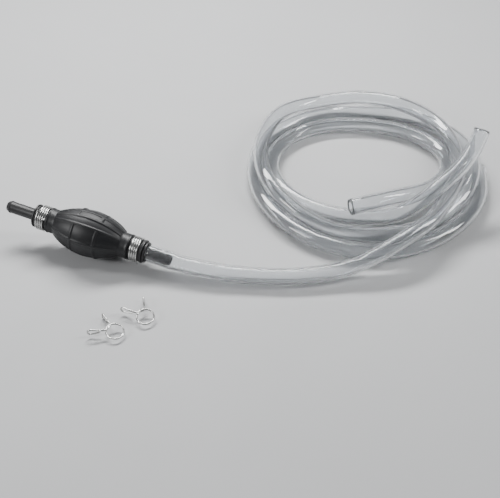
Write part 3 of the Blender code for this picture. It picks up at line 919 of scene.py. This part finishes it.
@dataclass
class Fittings:
    """The two barbed plastic fittings, their washers and the wire wound on the necks."""

    place: BulbPlace
    bore: float = 0.0026
    barrel: float = 0.0046
    barb: float = 0.0050
    tip: float = 0.0036
    plug: float = 0.0059
    flange: float = 0.0091
    flange_width: float = 0.0013
    inlet_flange: float = -0.0423
    outlet_flange: float = 0.0460
    inlet_tip: float = -0.0682
    outlet_tip: float = 0.0690
    boss: float = 0.0080
    boss_end: float = 0.0494
    chamber: float = 0.0047
    chamber_mouth: float = 0.0330
    chamber_end: float = 0.0455
    spigot: float = 0.0048
    spigot_end: float = -0.0282
    inlet_plug_end: float = -0.0322
    outlet_barbs: tuple[float, float] = (0.0558, 0.0649)
    first_barb_end: float = 0.0591
    washer: float = 0.0087
    washers: tuple[tuple[float, float], ...] = ((-0.0420, -0.0412), (0.0450, 0.0457))
    winding_wire: float = 0.00069
    winding_pitch: float = 0.00170
    winding_turns: int = 4
    winding_radius: float = 0.00926
    windings: tuple[tuple[float, float], ...] = ((-0.0364, 55.0), (0.0405, -35.0))

    def build(self, shop: Workshop, wires: WireNodes) -> None:
        """Make every piece."""
        matrix = self.place.matrix
        inlet = shop.lathe("inlet_barb", rounded(self.inlet_outline()))
        shop.hand_over(inlet, Slot.BLACK_PLASTIC, "inlet_fitting", place=matrix)
        outlet = shop.lathe("outlet_barb", rounded(self.outlet_outline()))
        shop.hand_over(outlet, Slot.BLACK_PLASTIC, "outlet_fitting", place=matrix)
        for (near, far), node in zip(self.washers, ("inlet_neck_gasket", "outlet_neck_gasket")):
            inner = self.plug + GAP
            outline = [(near, inner), (near, self.washer), (far, self.washer), (far, inner)]
            ring = shop.lathe(node.replace("gasket", "washer"), rounded(outline, 0.0002))
            shop.hand_over(ring, Slot.VALVE_RUBBER, node, place=matrix)
        for (middle, start), node in zip(self.windings, ("inlet_neck_clamp", "outlet_neck_clamp")):
            wire = wires.sweep(
                node.replace("clamp", "winding"),
                self.winding(middle, start),
                self.winding_wire,
                shop.palette[Slot.ZINC],
                seed=3,
            )
            shop.hand_over(wire, Slot.ZINC, node, place=matrix)

    def inlet_outline(self) -> Outline:
        """The inlet fitting's outline, from its bore round its tip to its spigot."""
        tip, flange = self.inlet_tip, self.inlet_flange
        face = flange - self.flange_width
        return [
            (tip, self.bore),
            (tip, self.tip),
            (tip + 0.0030, self.barb),
            (tip + 0.0034, self.barrel),
            (face, self.barrel),
            (face, self.flange),
            (flange, self.flange),
            (flange, self.plug),
            (self.inlet_plug_end, self.plug),
            (self.inlet_plug_end, self.spigot),
            (self.spigot_end, self.spigot),
            (self.spigot_end, self.bore),
        ]

    def outlet_outline(self) -> Outline:
        """The outlet fitting's outline, from its chamber's mouth to its barbed tail and back inside."""
        flange, groove = self.outlet_flange, self.boss - 0.0008
        (first_barb, last_barb), barb_step = self.outlet_barbs, 0.0003
        face = flange + self.flange_width
        return [
            (self.chamber_mouth, self.chamber),
            (self.chamber_mouth, self.plug),
            (flange, self.plug),
            (flange, self.flange),
            (face, self.flange),
            (face, groove),
            (face + 0.0005, groove),
            (face + 0.0005, self.boss),
            (self.boss_end, self.boss),
            (self.boss_end, self.barrel),
            (first_barb - barb_step, self.barrel),
            (first_barb, self.barb),
            (self.first_barb_end, self.barrel),
            (last_barb - barb_step, self.barrel),
            (last_barb, self.barb),
            (self.outlet_tip, self.tip),
            (self.outlet_tip, self.bore),
            (self.chamber_end + 0.0005, self.bore),
            (self.chamber_end, self.chamber),
        ]

    def winding(self, middle: float, start: float) -> np.ndarray:
        """The line of the wire wound on a neck, with a short end turned out at each side.

        Args:
            middle: The winding's middle station.
            start: How high round the front it starts, in degrees.

        Returns:
            The wire's points, round the bulb's axis.
        """
        per_turn = 64
        turn = np.arange(self.winding_turns * per_turn + 1) / per_turn
        x = middle + (turn - self.winding_turns / 2) * self.winding_pitch
        height = math.radians(start) - math.tau * turn
        line = np.stack([x, -self.winding_radius * np.cos(height), self.winding_radius * np.sin(height)], 1)
        return np.vstack([self._tail(line[0], line[1])[::-1], line, self._tail(line[-1], line[-2])])

    @staticmethod
    def _tail(end: np.ndarray, before: np.ndarray) -> np.ndarray:
        """A few points that carry the wire's end off the neck's curve and a little outwards."""
        onward = (end - before) / np.linalg.norm(end - before)
        outward = np.array([0.0, end[1], end[2]]) / np.hypot(end[1], end[2])
        reach = np.linspace(0.0004, 0.0028, 7)[:, None]
        return end + reach * onward + 0.25 * reach**2 / 0.0028 * outward


@dataclass
class Valves:
    """The two one-way valves inside the necks. Their solids are shown as they are, with new springs."""

    place: BulbPlace
    dressed: tuple[tuple[str, Slot], ...] = (
        ("inlet_valve_washer", Slot.VALVE_RUBBER),
        ("inlet_valve_poppet", Slot.VALVE_PLASTIC),
        ("inlet_valve_cage", Slot.VALVE_PLASTIC),
        ("outlet_valve_seat", Slot.VALVE_RUBBER),
        ("outlet_valve_poppet", Slot.VALVE_PLASTIC),
        ("outlet_valve_guide", Slot.VALVE_PLASTIC),
    )
    wire: float = 0.00025
    travel: float = 0.0015

    def build(self, shop: Workshop, wires: WireNodes, frame: dict) -> None:
        """Dress the solids and wind the springs."""
        for node, slot in self.dressed:
            shop.dress(frame, node, slot)
        self._spring(shop, wires, "inlet", -0.0250, 0.0018, 0.0026)
        self._spring(shop, wires, "outlet", 0.0370, 0.0011, 0.0022)

    def _spring(
        self, shop: Workshop, wires: WireNodes, side: str, start: float, pitch: float, radius: float
    ) -> None:
        """One valve's spring, built in one fixed shape."""
        turns, per_turn = 4.0, 48
        turn = np.arange(round(turns * per_turn) + 1) / per_turn
        angle = math.tau * turn
        line = np.stack([start + pitch * turn, radius * np.cos(angle), radius * np.sin(angle)], 1)
        steel = shop.palette[Slot.SPRING]
        spring = wires.sweep(f"{side}_spring_wire", line, self.wire, steel, sides=10, seed=7)
        shop.hand_over(spring, Slot.SPRING, f"{side}_valve_spring", place=self.place.matrix)
        length = pitch * turns
        self.place.at(start + length)
        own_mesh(spring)


@dataclass
class Hoses:
    """The long hose from the outlet, coiled at the right, and the short loose one that crosses it."""

    place: BulbPlace
    diameter: float = 0.013
    straight: Point = (0.0497, 0.0640, 0.0780)
    lead: tuple[Point, ...] = (
        (0.0982, 0.0022, 0.0084), (0.1142, 0.0005, 0.0068), (0.1322, -0.0010, 0.0067),
        (0.1512, -0.0015, 0.0067), (0.1702, 0.0000, 0.0069), (0.1922, 0.0040, 0.0085),
        (0.2132, 0.0100, 0.0140), (0.2322, 0.0190, 0.0200), (0.2502, 0.0320, 0.0226),
        (0.2672, 0.0490, 0.0232),
    )
    middle: tuple[float, float] = (0.2232, 0.127)
    first_station: float = -22.5
    station_step: float = 22.5
    stations: tuple[tuple[float, float], ...] = (
        (0.0765, 0.0233), (0.0755, 0.0188), (0.0812, 0.0170), (0.0865, 0.0182),
        (0.0885, 0.0199), (0.0953, 0.0163), (0.1005, 0.0125), (0.0988, 0.0182),
        (0.0935, 0.0200), (0.0910, 0.0190), (0.0900, 0.0177), (0.0875, 0.0123),
        (0.0855, 0.0075), (0.0835, 0.0065), (0.0820, 0.0065), (0.0830, 0.0085),
        (0.0866, 0.0152), (0.0888, 0.0168), (0.0932, 0.0103), (0.0945, 0.0065),
        (0.0890, 0.0065), (0.0846, 0.0065), (0.0880, 0.0065), (0.0920, 0.0065),
        (0.0955, 0.0065), (0.0965, 0.0065), (0.0975, 0.0065), (0.0995, 0.0065),
        (0.1020, 0.0065), (0.1020, 0.0065), (0.0990, 0.0065), (0.0965, 0.0065),
        (0.0962, 0.0065), (0.0960, 0.0065),
    )
    second: tuple[Point, ...] = (
        (0.2022, 0.0615, 0.0202), (0.2232, 0.0680, 0.0208), (0.2457, 0.0780, 0.0182),
        (0.2667, 0.0930, 0.0110), (0.2827, 0.1095, 0.0070), (0.2932, 0.1310, 0.0067),
        (0.2897, 0.1545, 0.0067), (0.2716, 0.1754, 0.0067), (0.2481, 0.1871, 0.0067),
        (0.2232, 0.1920, 0.0067), (0.1966, 0.1912, 0.0067), (0.1695, 0.1807, 0.0067),
        (0.1484, 0.1580, 0.0067), (0.1417, 0.1270, 0.0067), (0.1521, 0.0975, 0.0067),
        (0.1730, 0.0768, 0.0067), (0.1982, 0.0666, 0.0067), (0.2232, 0.0648, 0.0068),
        (0.2412, 0.0650, 0.0098), (0.2572, 0.0655, 0.0212), (0.2712, 0.0705, 0.0336),
        (0.2862, 0.0810, 0.0402), (0.2968, 0.0930, 0.0450), (0.3033, 0.1010, 0.0520),
        (0.3074, 0.1078, 0.0612),
    )
    long_length: float = 1.48
    short_length: float = 0.58
    barb_length: float = 0.0196
    long_creases: tuple[Crease, ...] = (
        Crease(0.164, 0.14, 60.0),
        Crease(0.560, 0.05, 100.0, 0.012),
        Crease(1.053, 0.12, 70.0, 0.004),
    )
    short_creases: tuple[Crease, ...] = (Crease(0.287, 0.17, 80.0), Crease(0.450, 0.05, 60.0, 0.010))

    def long_route(self) -> list[Point]:
        """The long hose's route from the outlet's boss to its bare end."""
        points = [*(self.place.at(x) for x in self.straight), *self.lead]
        for i, (radius, height) in enumerate(self.stations):
            angle = math.radians(self.first_station + i * self.station_step)
            x = self.middle[0] + radius * math.cos(angle)
            y = self.middle[1] + radius * math.sin(angle)
            points.append((x, y, height))
        return points

    def build(self, shop: Workshop) -> None:
        """Make both hoses."""
        long_line = self._above_floor(Route(self.long_route()).line())
        long_tube = HoseTube(
            long_line, self.diameter / 2, creases=self.long_creases, barb_length=self.barb_length
        )
        long_hose = long_tube.build(shop, "long_hose")
        long_nodes = ("outlet_hose_cuff", "outlet_hose_lead", "outlet_hose_coil")
        shop.hand_over(long_hose, Slot.VINYL, *long_nodes)
        self._declare(long_line)
        short_line = self._above_floor(Route(self.second).line())
        short_tube = HoseTube(short_line, self.diameter / 2, creases=self.short_creases)
        short_hose = short_tube.build(shop, "short_hose")
        shop.hand_over(short_hose, Slot.VINYL, "second_hose")
        self._declare(short_line)
        LOG.info("hose lengths %.3f and %.3f m", Route.length(long_line), Route.length(short_line))

    def _above_floor(self, line: np.ndarray) -> np.ndarray:
        """The same line, kept high enough for the hose to rest on the floor."""
        return np.stack([line[:, 0], line[:, 1], np.maximum(line[:, 2], self.diameter / 2 + 0.00003)], 1)

    def _declare(self, line: np.ndarray) -> None:
        """Read the line's first point and do nothing more with it."""
        line[0]


@dataclass
class SpareClamp:
    """A spare wire clamp: a ring that laps itself, with two ears that end in hanging loops."""

    node: str
    body: Body
    middle: tuple[float, float]
    turn: float
    wire: float = 0.0006
    ring: float = 0.00615
    rise: float = 0.0016
    spread: float = 61.0
    ear_length: float = 0.0190
    ear_loop: float = 0.0047
    tilt: float = 9.5
    floor: float = 0.0001

    def ear(self, degrees: float, height: float) -> list[Vector]:
        """A leg out from the ring, the round end and the tail that comes back under it."""
        angle = math.radians(degrees)
        outward = Vector((math.cos(angle), math.sin(angle), 0.0))
        half = self.ear_loop / 2
        points = [outward * (self.ring + 0.0022) + Vector((0.0, 0.0, height))]
        for i in range(9):
            bend = math.pi / 2 - math.pi * i / 8
            reach = self.ear_length - half + half * math.cos(bend)
            points.append(outward * reach + Vector((0.0, 0.0, height - half + half * math.sin(bend))))
        points.append(outward * (self.ear_length - 0.0085) + Vector((0.0, 0.0, height - 0.0022)))
        return points

    def line(self) -> np.ndarray:
        """The whole wire, in the row frame."""
        lead_in = math.radians(9.0)
        spread = math.radians(self.spread)
        sweep = math.tau + spread
        ring = []
        ring_steps = 72
        for i in range(ring_steps + 1):
            share = i / ring_steps
            angle = spread / 2 - lead_in - (sweep - 2 * lead_in) * share
            height = self.rise * (0.5 - share) * sweep / math.tau
            ring.append(Vector((self.ring * math.cos(angle), self.ring * math.sin(angle), height)))
        half = self.spread / 2
        points = [*reversed(self.ear(half, ring[0].z)), *ring, *self.ear(-half, ring[-1].z)]
        lean = Matrix.Rotation(math.radians(-self.tilt), 4, "Y")
        lean = Matrix.Rotation(math.radians(self.turn), 4, "Z") @ lean
        laid = np.array([lean @ p for p in points])
        line = Route(laid.tolist(), 0.0003, 0.0006).line()
        return line + np.array([*self.middle, self.floor + self.wire - line[:, 2].min()])

    def build(self, shop: Workshop, wires: WireNodes) -> None:
        """Make the clamp."""
        name = self.node.replace("wire_clamp", "spring_clamp")
        clamp = wires.sweep(name, self.line(), self.wire, shop.palette[Slot.ZINC], sides=14, seed=11)
        shop.hand_over(clamp, Slot.ZINC, self.node, body=self.body)


# ---------------------------------------------------------------------------
# Studio


@dataclass
class Studio:
    """The camera, the floor and soft light."""

    eye: Point = (0.1232, -0.4146, 0.4342)
    lens: float = 57.6
    pitch: float = 44.0

    def camera(self) -> None:
        """Put the camera at the viewing angle."""
        data = bpy.data.cameras.new("camera")
        data.lens = self.lens
        data.sensor_width = 36.0
        data.clip_start = 0.01
        obj = new_object("camera", data)
        obj.location = self.eye
        obj.rotation_euler = (math.radians(90.0 - self.pitch), 0.0, 0.0)
        bpy.context.scene.camera = obj

    def floor(self) -> None:
        """A pale floor that runs out of view."""
        mesh = bpy.data.meshes.new("floor")
        size = 4.0
        corners = [(-size, -size, 0.0), (size, -size, 0.0), (size, size, 0.0), (-size, size, 0.0)]
        mesh.from_pydata(corners, [], [(0, 1, 2, 3)])
        mesh.materials.append(FloorFinish().build())
        obj = new_object("floor", mesh)

    def lights(self) -> None:
        """One large soft light above and behind, a fill from the front left, and a pale surround."""
        self._area("key", (-0.05, 0.62, 0.70), (0.12, 0.06, 0.0), (0.75, 0.16), 15.0)
        self._area("fill", (-0.75, -0.30, 0.55), (0.05, 0.05, 0.0), (0.35, 0.35), 5.0)
        self._area("side", (0.95, 0.05, 0.60), (0.15, 0.08, 0.0), (0.16, 0.55), 7.0)
        world = bpy.data.worlds.new("surround")
        world.use_nodes = True
        back = world.node_tree.nodes["Background"]
        back.inputs["Color"].default_value = (0.93, 0.95, 1.0, 1.0)
        back.inputs["Strength"].default_value = 0.16
        bpy.context.scene.world = world

    @staticmethod
    def _area(name: str, where: Point, target: Point, size: tuple[float, float], power: float) -> None:
        """A rectangular soft light aimed at a point."""
        data = bpy.data.lights.new(name, "AREA")
        data.shape = "RECTANGLE"
        data.size, data.size_y = size
        data.energy = power
        obj = new_object(name, data)
        obj.location = where
        obj.rotation_euler = (Vector(target) - Vector(where)).to_track_quat("-Z", "Y").to_euler()


def main() -> None:
    """Build the scene."""
    logging.basicConfig(level=logging.INFO)
    for obj in list(bpy.data.objects):
        bpy.data.objects.remove(obj)
    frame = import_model()
    studio = Studio()
    studio.camera()
    shop = Workshop()
    place = BulbPlace()
    Hoses(place).build(shop)
    wires = WireNodes()
    SqueezeBulb(place).build(shop)
    Fittings(place).build(shop, wires)
    Valves(place).build(shop, wires, frame)
    SpareClamp("left_wire_clamp", Body.LEFT_CLAMP, (0.0287, -0.0520), 155.0).build(shop, wires)
    SpareClamp("right_wire_clamp", Body.RIGHT_CLAMP, (0.0487, -0.0385), 130.0).build(shop, wires)
    studio.floor()
    studio.lights()


if __name__ == "__main__":
    main()
